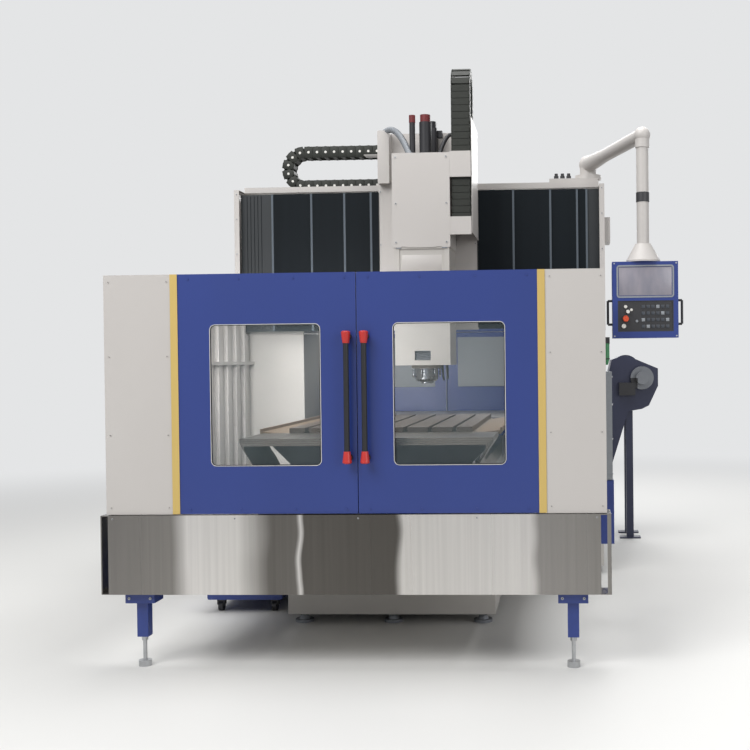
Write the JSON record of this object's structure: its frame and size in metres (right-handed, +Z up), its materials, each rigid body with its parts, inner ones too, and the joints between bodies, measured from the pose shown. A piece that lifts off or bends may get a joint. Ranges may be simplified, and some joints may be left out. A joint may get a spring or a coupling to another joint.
{
  "type": "cnc machining center",
  "caption": "Double-column CNC machining centre with sliding table, beam, saddle, spindle head, front doors, pendant, chip troughs and conveyor.",
  "frame": {"origin": "floor level, centre of the bed and spindle axis in Y, bottom of the middle levelling foot", "axes": "+X to the operator's right, +Y into the machine from its table end, +Z up"},
  "size_m": [3.65, 4.5019, 3.546],
  "materials": {
    "white": "satin",
    "blue": "satin",
    "navy": "satin",
    "yellow": "satin",
    "steel": "ground",
    "stainless": "brushed",
    "cast": "machined",
    "black": "matte",
    "red": "gloss",
    "pale": "matte",
    "glass": "clear"
  },
  "bodies": {
    "frame": {"bed": "white", "machine_feet": "cast", "linear_rails": "steel", "columns": "white", "beam": "white", "beam_cover_frame": "white", "front_panels": "white", "apron": "stainless", "side_walls": "white", "chip_troughs": "cast", "coolant_tank": "blue", "chip_conveyor": "navy", "electrical_cabinet": "white", "service_units": "cast", "feed_motors": "black", "x_chain": "black", "way_cover_ends": "steel"},
    "table": {"table": "steel", "table_carriages": "steel", "way_cover_table_ends": "steel"},
    "way_cover_front_1": {"way_cover_front_1": "steel"},
    "way_cover_front_2": {"way_cover_front_2": "steel"},
    "way_cover_rear_1": {"way_cover_rear_1": "steel"},
    "way_cover_rear_2": {"way_cover_rear_2": "steel"},
    "x_screw": {"x_screw": "steel"},
    "y_screw": {"y_screw": "steel"},
    "z_screw": {"z_screw": "steel"},
    "saddle": {"saddle": "white", "saddle_carriages": "steel", "saddle_covers": "white", "z_motor": "black", "z_chain": "black"},
    "cover_left_1": {"cover_left_1": "navy"},
    "cover_left_2": {"cover_left_2": "navy"},
    "cover_left_3": {"cover_left_3": "navy"},
    "cover_left_4": {"cover_left_4": "navy"},
    "cover_right_1": {"cover_right_1": "navy"},
    "cover_right_2": {"cover_right_2": "navy"},
    "cover_right_3": {"cover_right_3": "navy"},
    "cover_right_4": {"cover_right_4": "navy"},
    "head": {"head": "white", "head_cover": "white", "spindle_cartridge": "cast", "drawbar_booster": "black"},
    "spindle": {"spindle": "steel"},
    "door_left": {"door_left": "blue", "window_left": "glass", "handle_left": "black"},
    "door_right": {"door_right": "blue", "window_right": "glass", "handle_right": "black"},
    "rear_door_left": {"rear_door_left": "blue"},
    "rear_door_right": {"rear_door_right": "blue"},
    "auger_left": {"auger_left": "steel"},
    "auger_right": {"auger_right": "steel"},
    "cabinet_door": {"cabinet_door": "white"},
    "pendant_arm": {"pendant_arm": "white"},
    "pendant": {"pendant": "blue"},
    "emergency_stop": {"emergency_stop": "red"},
    "start_button": {"start_button": "pale"}
  },
  "joints": [
    {"name": "table_y", "type": "slide", "parent": "frame", "child": "table", "axis": [0, 1, 0], "range_m": [0, 1.18]},
    {"name": "saddle_x", "type": "slide", "parent": "frame", "child": "saddle", "axis": [1, 0, 0], "range_m": [-0.685, 0.515], "deforming": ["x_chain"]},
    {"name": "head_z", "type": "slide", "parent": "saddle", "child": "head", "axis": [0, 0, 1], "range_m": [-0.15, 0.45], "deforming": ["z_chain"]},
    {"name": "way_front_1", "type": "slide", "parent": "frame", "child": "way_cover_front_1", "axis": [0, 1, 0], "range_m": [0, 0.3933]},
    {"name": "way_front_2", "type": "slide", "parent": "frame", "child": "way_cover_front_2", "axis": [0, 1, 0], "range_m": [0, 0.7867]},
    {"name": "way_rear_1", "type": "slide", "parent": "frame", "child": "way_cover_rear_1", "axis": [0, 1, 0], "range_m": [0, 0.3933]},
    {"name": "way_rear_2", "type": "slide", "parent": "frame", "child": "way_cover_rear_2", "axis": [0, 1, 0], "range_m": [0, 0.7867]},
    {"name": "cover_left_1_x", "type": "slide", "parent": "frame", "child": "cover_left_1", "axis": [1, 0, 0], "range_m": [-0.2096, 0.1576]},
    {"name": "cover_left_2_x", "type": "slide", "parent": "frame", "child": "cover_left_2", "axis": [1, 0, 0], "range_m": [-0.4103, 0.3085]},
    {"name": "cover_left_3_x", "type": "slide", "parent": "frame", "child": "cover_left_3", "axis": [1, 0, 0], "range_m": [-0.5562, 0.4182]},
    {"name": "cover_left_4_x", "type": "slide", "parent": "frame", "child": "cover_left_4", "axis": [1, 0, 0], "range_m": [-0.6371, 0.479]},
    {"name": "cover_right_1_x", "type": "slide", "parent": "frame", "child": "cover_right_1", "axis": [1, 0, 0], "range_m": [-0.0904, 0.068]},
    {"name": "cover_right_2_x", "type": "slide", "parent": "frame", "child": "cover_right_2", "axis": [1, 0, 0], "range_m": [-0.161, 0.121]},
    {"name": "cover_right_3_x", "type": "slide", "parent": "frame", "child": "cover_right_3", "axis": [1, 0, 0], "range_m": [-0.3939, 0.2961]},
    {"name": "cover_right_4_x", "type": "slide", "parent": "frame", "child": "cover_right_4", "axis": [1, 0, 0], "range_m": [-0.596, 0.4481]},
    {"name": "x_screw_turn", "type": "hinge", "parent": "frame", "child": "x_screw", "pos_m": [0, 0.48, 2.31], "axis": [1, 0, 0], "continuous": true},
    {"name": "y_screw_turn", "type": "hinge", "parent": "frame", "child": "y_screw", "pos_m": [0, 0, 0.77], "axis": [0, 1, 0], "continuous": true},
    {"name": "z_screw_turn", "type": "hinge", "parent": "saddle", "child": "z_screw", "pos_m": [0.09, 0.28, 2.2], "axis": [0, 0, 1], "continuous": true},
    {"name": "spindle_turn", "type": "hinge", "parent": "head", "child": "spindle", "pos_m": [0.09, 0, 1.5], "axis": [0, 0, 1], "continuous": true},
    {"name": "door_left_swing", "type": "hinge", "parent": "frame", "child": "door_left", "pos_m": [-0.951, -2.004, 1.4], "axis": [0, 0, 1], "range_deg": [-110, 0]},
    {"name": "door_right_swing", "type": "hinge", "parent": "frame", "child": "door_right", "pos_m": [0.951, -2.004, 1.4], "axis": [0, 0, 1], "range_deg": [0, 110]},
    {"name": "rear_door_left_swing", "type": "hinge", "parent": "frame", "child": "rear_door_left", "pos_m": [-0.82, 1.99, 1.4], "axis": [0, 0, 1], "range_deg": [0, 100]},
    {"name": "rear_door_right_swing", "type": "hinge", "parent": "frame", "child": "rear_door_right", "pos_m": [0.82, 1.99, 1.4], "axis": [0, 0, 1], "range_deg": [-100, 0]},
    {"name": "cabinet_door_swing", "type": "hinge", "parent": "frame", "child": "cabinet_door", "pos_m": [-1.784, 0.1, 1.06], "axis": [0, 0, 1], "range_deg": [0, 110]},
    {"name": "auger_left_turn", "type": "hinge", "parent": "frame", "child": "auger_left", "pos_m": [-0.745, 0, 0.53], "axis": [0, 1, 0], "continuous": true},
    {"name": "auger_right_turn", "type": "hinge", "parent": "frame", "child": "auger_right", "pos_m": [0.745, 0, 0.53], "axis": [0, 1, 0], "continuous": true},
    {"name": "pendant_arm_swing", "type": "hinge", "parent": "frame", "child": "pendant_arm", "pos_m": [1.222, 0.53, 2.9], "axis": [0, 0, 1], "range_deg": [0, 80]},
    {"name": "pendant_turn", "type": "hinge", "parent": "pendant_arm", "child": "pendant", "pos_m": [1.547, -0.485, 2.9], "axis": [0, 0, 1], "range_deg": [-120, 60]},
    {"name": "emergency_stop_press", "type": "slide", "parent": "pendant", "child": "emergency_stop", "axis": [0, 1, 0], "range_m": [0, 0.006]},
    {"name": "start_button_press", "type": "slide", "parent": "pendant", "child": "start_button", "axis": [0, 1, 0], "range_m": [0, 0.004]}
  ],
  "couplings": [
    {"joint": "way_front_1", "follows": "table_y", "ratio": 0.33333},
    {"joint": "way_front_2", "follows": "table_y", "ratio": 0.66667},
    {"joint": "way_rear_1", "follows": "table_y", "ratio": 0.33333},
    {"joint": "way_rear_2", "follows": "table_y", "ratio": 0.66667},
    {"joint": "cover_left_1_x", "follows": "saddle_x", "ratio": 0.306},
    {"joint": "cover_left_2_x", "follows": "saddle_x", "ratio": 0.599},
    {"joint": "cover_left_3_x", "follows": "saddle_x", "ratio": 0.812},
    {"joint": "cover_left_4_x", "follows": "saddle_x", "ratio": 0.93},
    {"joint": "cover_right_1_x", "follows": "saddle_x", "ratio": 0.132},
    {"joint": "cover_right_2_x", "follows": "saddle_x", "ratio": 0.235},
    {"joint": "cover_right_3_x", "follows": "saddle_x", "ratio": 0.575},
    {"joint": "cover_right_4_x", "follows": "saddle_x", "ratio": 0.87},
    {"joint": "x_screw_turn", "follows": "saddle_x", "rad_per_m": 392.7},
    {"joint": "y_screw_turn", "follows": "table_y", "rad_per_m": 392.7},
    {"joint": "z_screw_turn", "follows": "head_z", "rad_per_m": 392.7}
  ]
}
